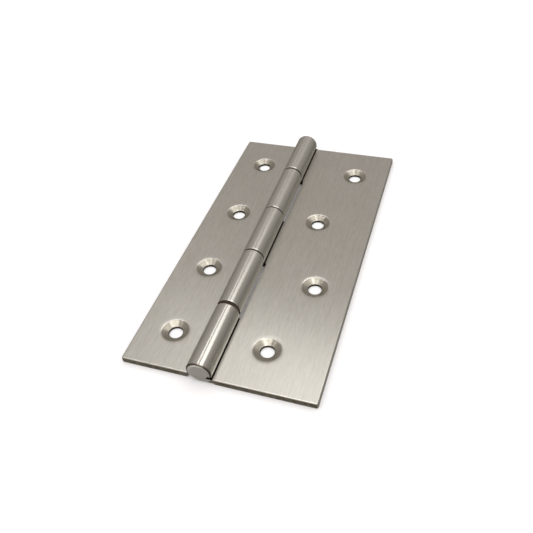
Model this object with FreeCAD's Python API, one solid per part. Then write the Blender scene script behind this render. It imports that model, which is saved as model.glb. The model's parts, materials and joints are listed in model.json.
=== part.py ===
import FreeCAD, Part
import math
import os

# Butt hinge for a door, lying open and flat with its countersunk faces up.
# +X runs across the wide leaf, +Y along the pin, +Z up from the backs of the leaves.
# The origin is the middle of the overall outline, on the plane of the backs. Millimetres.

# Overall size
LENGTH = 125.0                # barrel, from one ground end to the other
WIDE_REACH = 37.0             # pin axis to the outer edge of the wide leaf
NARROW_REACH = 27.0           # pin axis to the outer edge of the narrow leaf

# Sheet, pin and barrel
SHEET = 2.0                   # thickness of both leaves and of the rolled knuckles
PIN_DIAMETER = 4.2
RUNNING_CLEARANCE = 0.08      # radial, between the pin and the knuckles
BORE_RADIUS = PIN_DIAMETER / 2 + RUNNING_CLEARANCE
BARREL_RADIUS = BORE_RADIUS + SHEET
AXIS_X = (NARROW_REACH - WIDE_REACH) / 2
AXIS_Z = BARREL_RADIUS        # the barrel's underside is level with the backs

# Knuckles, (start, end) along Y from the near end to the far end.
# The first, third and fifth belong to the wide leaf, the others to the narrow leaf.
KNUCKLES = [
    (-LENGTH / 2, -37.2),
    (-36.0, -11.2),
    (-10.7, 12.9),
    (13.3, 38.1),
    (38.8, LENGTH / 2),
]
LIP_ANGLE = 26.0              # how far below level the rolled lip ends, in degrees
LIP_ROUND = 0.35              # outer edge of the lip
RIM_ROUND = 0.4               # outer edges of the knuckles where they meet
END_ROUND = 0.7               # outer edges at the two ground ends of the barrel

# Leaf outlines
WIDE_SHOULDER = 4.6           # pin axis to the notch edges of the wide leaf
NARROW_SHOULDER = 4.4         # pin axis to the notch edges of the narrow leaf
NARROW_NEAR_SETBACK = 0.6     # near edge of the narrow leaf, behind the barrel's near end
EDGE_ROUND = 0.6              # top edges of the leaves
CORNER_RADIUS = 0.65          # outer corners of the leaves, seen from above

# Screw holes, (distance from the pin axis, place along Y)
WIDE_HOLES = [(24.2, -17.6), (24.2, 46.7), (16.7, -47.1), (16.7, 15.2)]
NARROW_HOLES = [(14.7, -47.2), (14.7, -17.3), (14.7, 14.1), (14.7, 46.4)]
HOLE_RADIUS = 2.35
SINK_RADIUS = 4.7             # countersink at its edge
SINK_LAND = 0.7               # straight wall left under the countersink
SINK_ROUND = 1.0              # blend between the countersink and the dish round it
DISH_RADIUS = 6.0             # shallow dish that pressing the countersink leaves in the face
DISH_DEPTH = 0.05

# Riveted pin ends, swelled into a conical mouth and ground flush
MOUTH_RADIUS = 2.9
MOUTH_DEPTH = MOUTH_RADIUS - BORE_RADIUS

OVERCUT = 1.0                 # how far cutting tools run past the solid


def place(side, reach, y, z):
    """A point at a distance from the pin axis: side is 1 on the wide leaf, -1 on the narrow leaf."""
    return FreeCAD.Vector(AXIS_X + side * reach, y, z)


def around_pin(side, radius, degrees, y):
    """A point on a circle round the pin; 0 degrees points along the leaf and 90 points up."""
    angle = math.radians(degrees)
    return place(side, radius * math.cos(angle), y, AXIS_Z + radius * math.sin(angle))


def block(side, reach_from, reach_to, y_from, y_to):
    """A piece of flat sheet between two distances from the pin axis."""
    low_x = min(side * reach_from, side * reach_to) + AXIS_X
    corner = FreeCAD.Vector(low_x, y_from, 0)
    return Part.makeBox(reach_to - reach_from, y_to - y_from, SHEET, corner)


def edges_through(solid, points):
    """The edges that pass through the given points."""
    found = []
    for point in points:
        vertex = Part.Vertex(point)
        found.append(min(solid.Edges, key=lambda edge: edge.distToShape(vertex)[0]))
    return found


def knuckle(side, shoulder, start, end):
    """One knuckle: the sheet runs in flat from the shoulder, then rolls up and round to its lip."""
    lip = -LIP_ANGLE
    bottom = 270.0
    middle = (bottom + lip) / 2
    back_shoulder = place(side, shoulder, start, 0)
    back_tangent = around_pin(side, BARREL_RADIUS, bottom, start)
    outer_middle = around_pin(side, BARREL_RADIUS, middle, start)
    outer_lip = around_pin(side, BARREL_RADIUS, lip, start)
    inner_lip = around_pin(side, BORE_RADIUS, lip, start)
    inner_middle = around_pin(side, BORE_RADIUS, middle, start)
    top_tangent = around_pin(side, BORE_RADIUS, bottom, start)
    top_shoulder = place(side, shoulder, start, SHEET)
    outline = [
        Part.LineSegment(back_shoulder, back_tangent),
        Part.Arc(back_tangent, outer_middle, outer_lip),
        Part.LineSegment(outer_lip, inner_lip),
        Part.Arc(inner_lip, inner_middle, top_tangent),
        Part.LineSegment(top_tangent, top_shoulder),
        Part.LineSegment(top_shoulder, back_shoulder),
    ]
    section = Part.Face(Part.Wire([piece.toShape() for piece in outline]))
    solid = section.extrude(FreeCAD.Vector(0, end - start, 0))
    lip_edge = edges_through(solid, [around_pin(side, BARREL_RADIUS, lip, (start + end) / 2)])
    solid = solid.makeFillet(LIP_ROUND, lip_edge)
    for y in (start, end):
        at_barrel_end = abs(y) == LENGTH / 2
        rim = edges_through(solid, [around_pin(side, BARREL_RADIUS, middle, y)])
        solid = solid.makeFillet(END_ROUND if at_barrel_end else RIM_ROUND, rim)
    return solid


def plate(side, shoulder, reach, near, far):
    """The flat of a leaf, from the shoulder to its outer edge, its top edges rounded on three sides."""
    solid = block(side, shoulder, reach, near, far)
    corners = [place(side, reach, y, SHEET / 2) for y in (near, far)]
    solid = solid.makeFillet(CORNER_RADIUS, edges_through(solid, corners))
    outer_edge = edges_through(solid, [place(side, reach, (near + far) / 2, SHEET)])
    return solid.makeFillet(EDGE_ROUND, outer_edge)


def cone_above(centre, z_from, radius_from, z_to, radius_to):
    """An upright cone through two radii, carried on past the leaf's face."""
    growth = (radius_to - radius_from) / (z_to - z_from)
    height = SHEET + OVERCUT - z_from
    base = centre + FreeCAD.Vector(0, 0, z_from)
    up = FreeCAD.Vector(0, 0, 1)
    return Part.makeCone(radius_from, radius_from + growth * height, height, base, up)


def screw_hole(side, reach, y):
    """The tool that cuts one countersunk hole and the shallow dish round it."""
    centre = place(side, reach, y, 0)
    below = centre - FreeCAD.Vector(0, 0, OVERCUT)
    sink_edge = SHEET - DISH_DEPTH
    bore = Part.makeCylinder(HOLE_RADIUS, SHEET + 2 * OVERCUT, below, FreeCAD.Vector(0, 0, 1))
    sink = cone_above(centre, SINK_LAND, HOLE_RADIUS, sink_edge, SINK_RADIUS)
    dish = cone_above(centre, sink_edge, SINK_RADIUS, SHEET, DISH_RADIUS)
    return bore.fuse([sink, dish])


def mouth(y, inward):
    """A solid cone that fills the swelled end of the bore at y; inward is the way into the barrel."""
    start = place(1, 0, y, AXIS_Z)
    return Part.makeCone(MOUTH_RADIUS, BORE_RADIUS, MOUTH_DEPTH, start, FreeCAD.Vector(0, inward, 0))


def leaf(side, shoulder, reach, near, knuckles, holes):
    """A whole leaf: its flat with the screw holes, and its knuckles."""
    solid = plate(side, shoulder, reach, near, LENGTH / 2)
    for hole_reach, y in holes:
        solid = solid.cut(screw_hole(side, hole_reach, y))
    sink_edge = SHEET - DISH_DEPTH
    sink_edges = [place(side, hole_reach, y + SINK_RADIUS, sink_edge) for hole_reach, y in holes]
    solid = solid.makeFillet(SINK_ROUND, edges_through(solid, sink_edges))
    for start, end in knuckles:
        solid = solid.fuse(knuckle(side, shoulder, start, end))
    return solid.removeSplitter()


def make_wide_leaf():
    near = -LENGTH / 2
    far = LENGTH / 2
    solid = leaf(1, WIDE_SHOULDER, WIDE_REACH, near, KNUCKLES[0::2], WIDE_HOLES)
    return solid.cut(mouth(near, 1)).cut(mouth(far, -1))


def make_narrow_leaf():
    near = -LENGTH / 2 + NARROW_NEAR_SETBACK
    return leaf(-1, NARROW_SHOULDER, NARROW_REACH, near, KNUCKLES[1::2], NARROW_HOLES)


def make_hinge_pin():
    half = LENGTH / 2
    along = FreeCAD.Vector(0, 1, 0)
    rod = Part.makeCylinder(PIN_DIAMETER / 2, LENGTH, place(1, 0, -half, AXIS_Z), along)
    return rod.fuse(mouth(-half, 1)).fuse(mouth(half, -1)).removeSplitter()


def main():
    os.makedirs("parts", exist_ok=True)
    nodes = {
        "wide_leaf": make_wide_leaf(),
        "narrow_leaf": make_narrow_leaf(),
        "hinge_pin": make_hinge_pin(),
    }
    for name, shape in nodes.items():
        print(name, "valid:", shape.isValid(), "solids:", len(shape.Solids), "mm3:", round(shape.Volume))
        shape.Solids[0].exportStep("parts/" + name + ".step")


main()
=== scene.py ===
import json
import math

import bpy
from mathutils import Matrix, Vector


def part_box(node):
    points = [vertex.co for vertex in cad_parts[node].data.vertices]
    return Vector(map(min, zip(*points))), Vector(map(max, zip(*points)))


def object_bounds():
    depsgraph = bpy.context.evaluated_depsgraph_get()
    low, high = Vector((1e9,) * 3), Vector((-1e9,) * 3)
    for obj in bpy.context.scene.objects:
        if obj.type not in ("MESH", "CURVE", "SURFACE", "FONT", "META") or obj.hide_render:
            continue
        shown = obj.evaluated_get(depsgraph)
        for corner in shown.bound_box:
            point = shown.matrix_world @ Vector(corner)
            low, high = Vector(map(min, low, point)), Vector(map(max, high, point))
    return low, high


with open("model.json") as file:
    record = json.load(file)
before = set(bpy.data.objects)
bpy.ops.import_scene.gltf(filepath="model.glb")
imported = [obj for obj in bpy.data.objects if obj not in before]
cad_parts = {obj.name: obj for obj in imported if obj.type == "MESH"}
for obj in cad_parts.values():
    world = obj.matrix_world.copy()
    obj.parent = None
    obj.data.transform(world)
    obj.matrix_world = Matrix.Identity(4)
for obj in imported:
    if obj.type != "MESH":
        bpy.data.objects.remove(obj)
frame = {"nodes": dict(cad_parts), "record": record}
cad_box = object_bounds()

MM = 0.001

# Camera, measured from the middle of the hinge's outline, in metres and degrees
CAMERA_PLACE = Vector((0.05866, -0.15749, 0.15472))
CAMERA_AZIMUTH = 21.93
CAMERA_TILT = 45.74            # 0 looks straight down
CAMERA_ROLL = -5.74
CAMERA_LENS = 41.78            # on a sensor 36 mm wide
CAMERA_CLIP = (0.01, 20.0)
SENSOR_WIDTH = 36.0

# Places on the hinge, from the frame
PIN_LOW, PIN_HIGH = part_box("hinge_pin")
AXIS = (PIN_LOW + PIN_HIGH) / 2
BARREL_RADIUS = AXIS.z - cad_box[0].z
HALF_LENGTH = PIN_HIGH.y - AXIS.y
NOTCH_REACH = 4.75 * MM        # just past the notch edges, from the pin axis
SHEET = 2.0 * MM

# Screw holes: the middles from the record's bolt patterns, and radii
HOLES = []
for mount in frame["record"]["mounts"]:
    if mount["kind"] == "bolt_pattern":
        half_spacing = mount["dims"]["spacing_y_mm"] * MM / 2
        hole_x, hole_y, _ = mount["pos_m"]
        HOLES += [(hole_x, hole_y - half_spacing, 0.0), (hole_x, hole_y + half_spacing, 0.0)]
        HOLE_RADIUS = mount["dims"]["hole_r_mm"] * MM
SINK_RADIUS = 4.7 * MM

# Room that the metal reflects: (sine of the elevation, colour), from straight down to overhead
ROOM = [
    (-1.00, (0.30, 0.285, 0.26)),
    (-0.03, (0.26, 0.245, 0.22)),
    (0.03, (0.36, 0.34, 0.32)),
    (0.35, (0.42, 0.395, 0.375)),
    (0.62, (0.54, 0.505, 0.48)),
    (1.00, (0.56, 0.535, 0.51)),
]

# The room gets darker between these two places on the way to +X, down to this share of its light
DARK_FROM = 0.55
DARK_TO = 0.95
DARK_SHARE = 0.70

BACKDROP = (1.0, 1.0, 1.0, 1.0)
FLOOR_COLOUR = (0.80, 0.80, 0.81, 1.0)
FLOOR_ROUGHNESS = 0.9
FLOOR_SPECULAR = 0.1
FLOOR_SIZE = 6.0

# Two long softboxes side by side over the hinge: (from, to) across the pin, in metres
SOFTBOXES = [(-0.20, -0.085), (0.025, 0.33)]
SOFTBOX_HEIGHT = 0.60
SOFTBOX_ENDS = (-0.50, 0.43)   # along the pin, from the middle of the hinge
SOFTBOX_GLOW = 3.3             # watts for each square metre

# The brighter far part of each softbox, and the light that runs along the rounded near edges
CORE_ENDS = (0.10, 0.40)
CORE_HEIGHT = SOFTBOX_HEIGHT - 0.01
CORE_GLOW = 2.6
FRONT_ACROSS = (-0.20, 0.33)
FRONT_ENDS = (-0.42, -0.20)
FRONT_GLOW = 9.0

# Two narrow lamps beside the camera: (across, along)
LAMPS = [(0.12, -0.10), (-0.34, -0.08)]
LAMP_SIZE = (0.03, 0.16)
LAMP_HEIGHT = SOFTBOX_HEIGHT - 0.02
LAMP_GLOW = 30.0

# Wide overhead panel that lights the floor evenly and no metal
PANEL_SIZE = 12.0
PANEL_HEIGHT = 3.0
PANEL_GLOW = 3.3

# Shading of the CAD meshes
WELD_DISTANCE = 0.001 * MM
CREASE_ANGLE = math.radians(28.0)
FULL_WEIGHT = 100              # the large flats keep their own direction

# Steel colours: flats, countersinks, ground ends, sheared edges, and painted shade on end rounds, in
# rolls and in seams
LIGHT_STEEL = (0.64, 0.625, 0.578, 1.0)
DARK_STEEL = (0.545, 0.528, 0.482, 1.0)
CONE_LIGHT = (0.52, 0.49, 0.42, 1.0)
CONE_DARK = (0.30, 0.275, 0.225, 1.0)
GROUND_STEEL = (0.86, 0.85, 0.81, 1.0)
SHEARED_LIGHT = (0.42, 0.385, 0.33, 1.0)
SHEARED_DARK = (0.20, 0.165, 0.12, 1.0)
# Painted dark reflection on the barrel's rounded ends
END_ROUND_SHADE = (0.20, 0.17, 0.13, 1.0)
# Painted shade inside the rolls, in the gaps between the knuckles: lighter deep in, darker near the
# rim
ROLL_SHADE = (0.50, 0.42, 0.34, 1.0)
RIM_SHADE = (0.13, 0.105, 0.085, 1.0)
# Painted black shade for the seams under the rolls, the hole edges and the notch corners
SEAM_SHADE = (0.03, 0.025, 0.02, 1.0)

# Size of the grains across, along and up: brushed hairs and bands, broad clouds, hairlines on the
# barrel, turned rings (outward first) and shear marks (along their slant first)
HAIR_GRAIN = (0.26 * MM, 2.6 * MM, 0.26 * MM)
BAND_GRAIN = (0.55 * MM, 9.0 * MM, 0.55 * MM)
CLOUD_GRAIN = (9.0 * MM, 14.0 * MM, 9.0 * MM)
BARREL_GRAIN = (0.7 * MM, 120.0 * MM, 0.7 * MM)
RING_GRAIN = (0.12 * MM, 2.5 * MM, 2.5 * MM)
SHEAR_GRAIN = (0.45 * MM, 5.0 * MM, 2.5 * MM)
SHEAR_SLANT = 0.8

# The part of each noise that makes the whole change of tone, and the share that it has in it
HAIR_SPREAD = (0.40, 0.60)
BAND_SPREAD = (0.38, 0.62)
CLOUD_SPREAD = (0.35, 0.65)
RING_SPREAD = (0.30, 0.70)
SHEAR_SPREAD = (0.40, 0.60)
HAIR_SHARE = 0.55
BAND_SHARE = 0.45
STREAK_SHARE = 0.85
CLOUD_SHARE = 0.15

# Gloss
ROUGHNESS = (0.28, 0.33)       # in the dark streaks and in the light ones
BARREL_POLISH = 0.8            # the barrel's roughness, as a share of the leaves'
DULL_ROUGHNESS = 0.75
GROUND_METALLIC = 0.95
ANISOTROPY = 0.75
RING_HEIGHT = 0.002 * MM
WIDE_ACROSS = (1.0, 0.02, 0.01)    # the way that reflections spread on the leaves
WIDE_ALONG = (0.02, 1.0, 0.01)     # and on the barrel

# Where one finish gives way to the next: (from, to), measured past the edge that it follows
BARREL_FADE = (0.05 * MM, 0.25 * MM)
RIM_FADE = (-0.28 * MM, -0.12 * MM)
DEEP_FADE = (-0.75 * MM, -0.45 * MM)
GROUND_FADE = (-0.05 * MM, -0.02 * MM)
END_ROUND_FADE = (-0.65 * MM, -0.45 * MM)
CORNER_FADE = (-1.2 * MM, -1.0 * MM)
BACK_FADE = (0.2 * MM, 0.3 * MM)
SINK_FADE = (-0.28 * MM, -0.20 * MM)
HOLE_FADE = (0.05 * MM, 0.2 * MM)
SEAM_FADE = (-0.02 * MM, 0.08 * MM)
SHEET_TOP_FADE = (0.02 * MM, 0.04 * MM)
NOTCH_FADE = (0.0, 0.02 * MM)
STRONG_SHADE = 0.8             # how fully painted shade covers the hole edges and the barrel's end rounds

# How squarely a face looks along the pin or across it to count as an edge face
FACING_ALONG = (0.85, 0.95)
FACING_ACROSS = (0.90, 0.95)

# Where a Mix node keeps its two values and its result, for each kind of value
MIX_SOCKETS = {"FLOAT": (2, 3, 0), "VECTOR": (4, 5, 1), "RGBA": (6, 7, 2)}


class Graph:
    """Short ways to add nodes to one shader tree."""

    def __init__(self, tree):
        self.nodes = tree.nodes
        self.links = tree.links

    def set(self, socket, value):
        """Gives a socket a value, or the output of another node."""
        if isinstance(value, bpy.types.NodeSocket):
            self.links.new(value, socket)
        else:
            socket.default_value = value

    def maths(self, operation, first, second=0.0):
        node = self.nodes.new("ShaderNodeMath")
        node.operation = operation
        self.set(node.inputs[0], first)
        self.set(node.inputs[1], second)
        return node.outputs[0]

    def ramp(self, value, low, high, start=0.0, end=1.0):
        """start below low, end above high, and even between them."""
        node = self.nodes.new("ShaderNodeMapRange")
        self.set(node.inputs["Value"], value)
        self.set(node.inputs["From Min"], low)
        self.set(node.inputs["From Max"], high)
        self.set(node.inputs["To Min"], start)
        self.set(node.inputs["To Max"], end)
        return node.outputs["Result"]

    def before(self, value, edge, fade, full=1.0):
        """full before an edge, and 0 past it."""
        return self.ramp(value, edge + fade[0], edge + fade[1], full, 0.0)

    def past(self, value, edge, fade, full=1.0):
        """0 before an edge, and full past it."""
        return self.ramp(value, edge + fade[0], edge + fade[1], 0.0, full)

    def mix(self, factor, first, second, data_type="RGBA"):
        node = self.nodes.new("ShaderNodeMix")
        node.data_type = data_type
        first_input, second_input, output = MIX_SOCKETS[data_type]
        self.set(node.inputs["Factor"], factor)
        self.set(node.inputs[first_input], first)
        self.set(node.inputs[second_input], second)
        return node.outputs[output]

    def vector(self, operation, first, second=(0.0, 0.0, 0.0)):
        node = self.nodes.new("ShaderNodeVectorMath")
        node.operation = operation
        self.set(node.inputs[0], first)
        self.set(node.inputs[1], second)
        return node.outputs["Value" if operation == "LENGTH" else "Vector"]

    def scale(self, vector, share):
        node = self.nodes.new("ShaderNodeVectorMath")
        node.operation = "SCALE"
        self.set(node.inputs[0], vector)
        self.set(node.inputs["Scale"], share)
        return node.outputs["Vector"]

    def split(self, vector):
        node = self.nodes.new("ShaderNodeSeparateXYZ")
        self.set(node.inputs[0], vector)
        return node.outputs

    def join(self, x, y, z):
        node = self.nodes.new("ShaderNodeCombineXYZ")
        for socket, value in zip(node.inputs, (x, y, z)):
            self.set(socket, value)
        return node.outputs[0]

    def noise(self, vector, size, detail=2.0):
        """Noise whose grains have the given size in metres along each axis."""
        mapping = self.nodes.new("ShaderNodeMapping")
        mapping.inputs["Scale"].default_value = [1 / length for length in size]
        self.set(mapping.inputs["Vector"], vector)
        node = self.nodes.new("ShaderNodeTexNoise")
        node.inputs["Scale"].default_value = 1.0
        node.inputs["Detail"].default_value = detail
        self.links.new(mapping.outputs[0], node.inputs["Vector"])
        return node.outputs["Fac"]


def make_camera():
    """The camera at the photograph's viewing angle."""
    data = bpy.data.cameras.new("camera")
    data.lens = CAMERA_LENS
    data.sensor_width = SENSOR_WIDTH
    data.clip_start, data.clip_end = CAMERA_CLIP
    camera = bpy.data.objects.new("camera", data)
    bpy.context.scene.collection.objects.link(camera)
    turn = Matrix.Rotation(math.radians(CAMERA_AZIMUTH), 4, "Z")
    tilt = Matrix.Rotation(math.radians(CAMERA_TILT), 4, "X")
    roll = Matrix.Rotation(math.radians(CAMERA_ROLL), 4, "Z")
    camera.matrix_world = Matrix.Translation(CAMERA_PLACE) @ turn @ tilt @ roll
    bpy.context.scene.camera = camera


def make_world():
    """A plain room for the metal to reflect, darker low down and towards +X, and a white backdrop."""
    world = bpy.data.worlds.new("room")
    bpy.context.scene.world = world
    world.use_nodes = True
    g = Graph(world.node_tree)
    coordinates = g.nodes.new("ShaderNodeTexCoord")
    x, _, z = g.split(coordinates.outputs["Generated"])
    room = g.nodes.new("ShaderNodeValToRGB")
    g.set(room.inputs["Fac"], g.ramp(z, -1.0, 1.0))
    while len(room.color_ramp.elements) < len(ROOM):
        room.color_ramp.elements.new(1.0)
    for stop, (sine, colour) in zip(room.color_ramp.elements, ROOM):
        stop.position = (sine + 1) / 2
        stop.color = (*colour, 1.0)
    shaded = g.scale(room.outputs["Color"], g.ramp(x, DARK_FROM, DARK_TO, 1.0, DARK_SHARE))
    path = g.nodes.new("ShaderNodeLightPath")
    seen = g.mix(path.outputs["Is Camera Ray"], shaded, BACKDROP)
    g.set(g.nodes["Background"].inputs["Color"], seen)


def area_light(name, across, along, height, glow):
    """A rectangular light that faces straight down, between two places each way; glow is in W/m2."""
    width = across[1] - across[0]
    length = along[1] - along[0]
    data = bpy.data.lights.new(name, "AREA")
    data.shape = "RECTANGLE"
    data.size = width
    data.size_y = length
    data.energy = glow * width * length
    light = bpy.data.objects.new(name, data)
    bpy.context.scene.collection.objects.link(light)
    light.location = (sum(across) / 2, sum(along) / 2, height)
    light.visible_camera = False
    return light


def metal_light(name, across, along, height, glow):
    """A light that the metal reflects and that leaves the floor as it is."""
    area_light(name, across, along, height, glow).visible_diffuse = False


def make_lights():
    """The softboxes and lamps that the metal reflects, and the panel that whitens the floor."""
    for across in SOFTBOXES:
        metal_light("softbox", across, SOFTBOX_ENDS, SOFTBOX_HEIGHT, SOFTBOX_GLOW)
        metal_light("core", across, CORE_ENDS, CORE_HEIGHT, CORE_GLOW)
    metal_light("front", FRONT_ACROSS, FRONT_ENDS, CORE_HEIGHT, FRONT_GLOW)
    for x, y in LAMPS:
        across = (x - LAMP_SIZE[0] / 2, x + LAMP_SIZE[0] / 2)
        along = (y - LAMP_SIZE[1] / 2, y + LAMP_SIZE[1] / 2)
        metal_light("lamp", across, along, LAMP_HEIGHT, LAMP_GLOW)
    half = PANEL_SIZE / 2
    panel = area_light("panel", (-half, half), (-half, half), PANEL_HEIGHT, PANEL_GLOW)
    panel.visible_glossy = False


def make_floor():
    """The plain pale floor that the hinge lies on."""
    mesh = bpy.data.meshes.new("floor")
    half = FLOOR_SIZE / 2
    z = cad_box[0].z
    corners = [(-half, -half, z), (half, -half, z), (half, half, z), (-half, half, z)]
    mesh.from_pydata(corners, [], [(0, 1, 2, 3)])
    floor = bpy.data.objects.new("floor", mesh)
    bpy.context.scene.collection.objects.link(floor)
    material = bpy.data.materials.new("floor_white")
    material.use_nodes = True
    shader = material.node_tree.nodes["Principled BSDF"]
    shader.inputs["Base Color"].default_value = FLOOR_COLOUR
    shader.inputs["Roughness"].default_value = FLOOR_ROUGHNESS
    shader.inputs["Specular IOR Level"].default_value = FLOOR_SPECULAR
    mesh.materials.append(material)
    floor.visible_glossy = False


def smoothing_tree():
    """Joins the faces of the CAD mesh and keeps only the real edges sharp."""
    tree = bpy.data.node_groups.new("smooth_by_angle", "GeometryNodeTree")
    tree.interface.new_socket("Geometry", in_out="INPUT", socket_type="NodeSocketGeometry")
    tree.interface.new_socket("Geometry", in_out="OUTPUT", socket_type="NodeSocketGeometry")
    nodes = tree.nodes
    links = tree.links
    start = nodes.new("NodeGroupInput")
    end = nodes.new("NodeGroupOutput")
    weld = nodes.new("GeometryNodeMergeByDistance")
    weld.inputs["Distance"].default_value = WELD_DISTANCE
    plain = nodes.new("GeometryNodeSetMeshNormal")
    plain.mode = "SHARPNESS"
    soft_faces = nodes.new("GeometryNodeSetShadeSmooth")
    soft_faces.domain = "FACE"
    soft_edges = nodes.new("GeometryNodeSetShadeSmooth")
    soft_edges.domain = "EDGE"
    angle = nodes.new("GeometryNodeInputMeshEdgeAngle")
    is_soft = nodes.new("FunctionNodeCompare")
    is_soft.data_type = "FLOAT"
    is_soft.operation = "LESS_THAN"
    is_soft.inputs["B"].default_value = CREASE_ANGLE
    links.new(start.outputs[0], weld.inputs["Geometry"])
    links.new(weld.outputs["Geometry"], plain.inputs["Mesh"])
    links.new(plain.outputs["Mesh"], soft_faces.inputs[0])
    links.new(soft_faces.outputs[0], soft_edges.inputs[0])
    links.new(angle.outputs["Unsigned Angle"], is_soft.inputs["A"])
    links.new(is_soft.outputs["Result"], soft_edges.inputs["Shade Smooth"])
    links.new(soft_edges.outputs[0], end.inputs[0])
    return tree


def smooth(node, tree):
    """Blends the shading across a node's rounded edges, and keeps its flats flat."""
    node.modifiers.new("smooth_by_angle", "NODES").node_group = tree
    weighted = node.modifiers.new("flat_faces", "WEIGHTED_NORMAL")
    weighted.keep_sharp = True
    weighted.weight = FULL_WEIGHT


def nearest_hole(g, here):
    """The level vector from the middle of the nearest screw hole, and its length."""
    level = g.vector("MULTIPLY", here, (1.0, 1.0, 0.0))
    offset = g.vector("SUBTRACT", level, HOLES[0])
    distance = g.vector("LENGTH", offset)
    for middle in HOLES[1:]:
        other_offset = g.vector("SUBTRACT", level, middle)
        other_distance = g.vector("LENGTH", other_offset)
        is_nearer = g.maths("LESS_THAN", other_distance, distance)
        offset = g.mix(is_nearer, offset, other_offset, "VECTOR")
        distance = g.maths("MINIMUM", distance, other_distance)
    return offset, distance


def steel_masks(g, here, normal, hole_distance):
    """Where each kind of surface and each patch of painted shade is, from 0 to 1."""
    x, y, z = g.split(here)
    normal_x, normal_y, _ = g.split(normal)
    facing_across = g.ramp(g.maths("ABSOLUTE", normal_x), *FACING_ACROSS)
    facing_along = g.ramp(g.maths("ABSOLUTE", normal_y), *FACING_ALONG)
    beside_axis = g.maths("ABSOLUTE", g.maths("SUBTRACT", x, AXIS.x))
    above_axis = g.maths("SUBTRACT", z, AXIS.z)
    off_axis = g.vector("LENGTH", g.join(beside_axis, above_axis, 0.0))
    from_middle = g.maths("ABSOLUTE", y)
    from_sheet_top = g.maths("ABSOLUTE", g.maths("SUBTRACT", z, SHEET))

    # The barrel, its ground ends, its rounds with a painted dark reflection, and painted shade in the
    # rolls at the knuckle ends
    barrel = g.before(off_axis, BARREL_RADIUS, BARREL_FADE)
    at_end = g.past(from_middle, HALF_LENGTH, GROUND_FADE)
    ground = g.maths("MULTIPLY", barrel, at_end)
    near_end = g.past(from_middle, HALF_LENGTH, END_ROUND_FADE, STRONG_SHADE)
    end_round_shade = g.maths("MULTIPLY", near_end, g.maths("SUBTRACT", barrel, ground))
    in_roll = g.before(off_axis, BARREL_RADIUS, RIM_FADE)
    roll_shade = g.maths("MULTIPLY", in_roll, g.maths("SUBTRACT", 1.0, at_end))
    deep = g.before(off_axis, BARREL_RADIUS, DEEP_FADE)

    # The countersinks, and painted black shade on the lower edges of their holes
    in_sink = g.before(hole_distance, SINK_RADIUS, SINK_FADE)
    cone = g.maths("MULTIPLY", in_sink, g.past(z, 0.0, BACK_FADE))
    hole_edge_shade = g.before(hole_distance, HOLE_RADIUS, HOLE_FADE, STRONG_SHADE)

    # The leaves' edge faces, those in the notches, and painted black shade in the notch corners and
    # the seams under the rolls
    on_leaf = g.maths("SUBTRACT", 1.0, barrel)
    end_faces = g.maths("MULTIPLY", facing_along, on_leaf)
    beside_notch = g.before(beside_axis, NOTCH_REACH, NOTCH_FADE)
    notch_edge = g.maths("MULTIPLY", beside_notch, g.maths("MULTIPLY", on_leaf, facing_across))
    sheared = g.maths("MAXIMUM", end_faces, notch_edge)
    inside_ends = g.before(from_middle, HALF_LENGTH, CORNER_FADE)
    notch_corner_shade = g.maths("MULTIPLY", g.maths("MULTIPLY", beside_notch, end_faces), inside_ends)
    under_roll = g.before(beside_axis, BARREL_RADIUS, SEAM_FADE)
    at_sheet_top = g.before(from_sheet_top, 0.0, SHEET_TOP_FADE)
    seam_shade = g.maths("MAXIMUM", g.maths("MULTIPLY", under_roll, at_sheet_top), hole_edge_shade)
    seam_shade = g.maths("MAXIMUM", seam_shade, notch_corner_shade)
    return barrel, ground, end_round_shade, roll_shade, deep, cone, sheared, seam_shade


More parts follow.
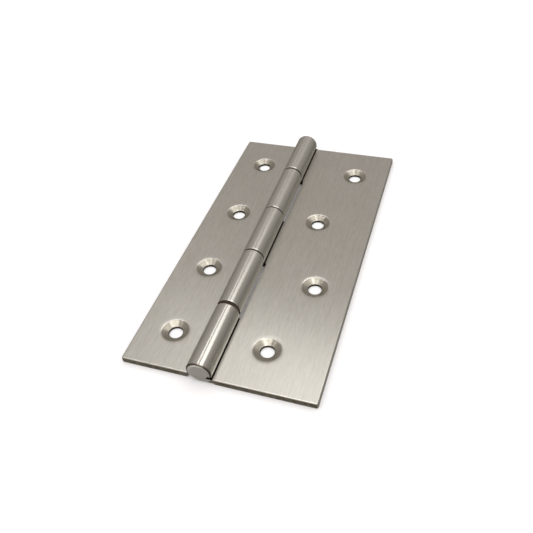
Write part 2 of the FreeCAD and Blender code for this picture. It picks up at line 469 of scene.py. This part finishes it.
def brushed_steel(name):
    """Satin stainless steel, brushed along the pin, with turned countersinks and sheared ends, and
    painted shade in the seams, hole edges, knuckle gaps and end rounds.
    """
    material = bpy.data.materials.new(name)
    material.use_nodes = True
    g = Graph(material.node_tree)
    shader = g.nodes["Principled BSDF"]
    place = g.nodes.new("ShaderNodeTexCoord")
    here = place.outputs["Object"]
    x, y, z = g.split(here)
    hole_offset, hole_distance = nearest_hole(g, here)
    masks = steel_masks(g, here, place.outputs["Normal"], hole_distance)
    barrel, ground, end_round_shade, roll_shade, deep, cone, sheared, seam_shade = masks

    hair = g.noise(here, HAIR_GRAIN, detail=1.0)
    band = g.noise(here, BAND_GRAIN)
    cloud = g.noise(here, CLOUD_GRAIN)
    long_hair = g.noise(here, BARREL_GRAIN, detail=1.0)
    hair_part = g.ramp(hair, *HAIR_SPREAD, 0.0, HAIR_SHARE)
    band_part = g.ramp(band, *BAND_SPREAD, 0.0, BAND_SHARE)
    streak = g.mix(barrel, g.maths("ADD", hair_part, band_part), long_hair, "FLOAT")
    rings = g.noise(g.join(hole_distance, x, y), RING_GRAIN, detail=3.0)
    slant = g.maths("ADD", g.maths("ADD", x, y), g.maths("MULTIPLY", z, SHEAR_SLANT))
    shear_marks = g.noise(g.join(slant, 0.0, z), SHEAR_GRAIN)

    streak_part = g.ramp(streak, 0.0, 1.0, 0.0, STREAK_SHARE)
    cloud_part = g.ramp(cloud, *CLOUD_SPREAD, 0.0, CLOUD_SHARE)
    colour = g.mix(g.maths("ADD", streak_part, cloud_part), DARK_STEEL, LIGHT_STEEL)
    colour = g.mix(cone, colour, g.mix(g.ramp(rings, *RING_SPREAD), CONE_DARK, CONE_LIGHT))
    sheared_colour = g.mix(g.ramp(shear_marks, *SHEAR_SPREAD), SHEARED_DARK, SHEARED_LIGHT)
    colour = g.mix(sheared, colour, sheared_colour)
    # Painted dark reflection on the barrel's rounded ends
    colour = g.mix(end_round_shade, colour, END_ROUND_SHADE)
    colour = g.mix(ground, colour, GROUND_STEEL)
    # Painted shade inside the rolls between the knuckles, darkest near the rim
    colour = g.mix(roll_shade, colour, g.mix(deep, RIM_SHADE, ROLL_SHADE))
    # Painted black shade in the seams under the rolls, at the hole edges and in the notch corners
    g.set(shader.inputs["Base Color"], g.mix(seam_shade, colour, SEAM_SHADE))

    roughness = g.ramp(streak, 0.0, 1.0, *ROUGHNESS)
    roughness = g.maths("MULTIPLY", roughness, g.ramp(barrel, 0.0, 1.0, 1.0, BARREL_POLISH))
    dull = g.maths("MAXIMUM", g.maths("MAXIMUM", ground, roll_shade), seam_shade)
    roughness = g.maths("MAXIMUM", roughness, g.maths("MULTIPLY", dull, DULL_ROUGHNESS))
    g.set(shader.inputs["Roughness"], roughness)
    g.set(shader.inputs["Metallic"], g.ramp(ground, 0.0, 1.0, 1.0, GROUND_METALLIC))
    g.set(shader.inputs["Anisotropic"], ANISOTROPY)

    brushed_way = g.mix(barrel, WIDE_ACROSS, WIDE_ALONG, "VECTOR")
    outward = g.vector("NORMALIZE", hole_offset)
    to_world = g.nodes.new("ShaderNodeVectorTransform")
    to_world.vector_type = "VECTOR"
    to_world.convert_from = "OBJECT"
    to_world.convert_to = "WORLD"
    g.set(to_world.inputs[0], g.mix(cone, brushed_way, outward, "VECTOR"))
    g.set(shader.inputs["Tangent"], to_world.outputs[0])

    bump = g.nodes.new("ShaderNodeBump")
    bump.inputs["Distance"].default_value = RING_HEIGHT
    g.set(bump.inputs["Strength"], cone)
    g.set(bump.inputs["Height"], rings)
    g.set(shader.inputs["Normal"], bump.outputs[0])
    return material


make_camera()
make_world()
make_lights()
make_floor()
bpy.context.scene.view_settings.view_transform = "Standard"

tree = smoothing_tree()
steel = brushed_steel("brushed_leaf_steel")
for node in frame["nodes"].values():
    smooth(node, tree)
    node.material_slots[0].material = steel
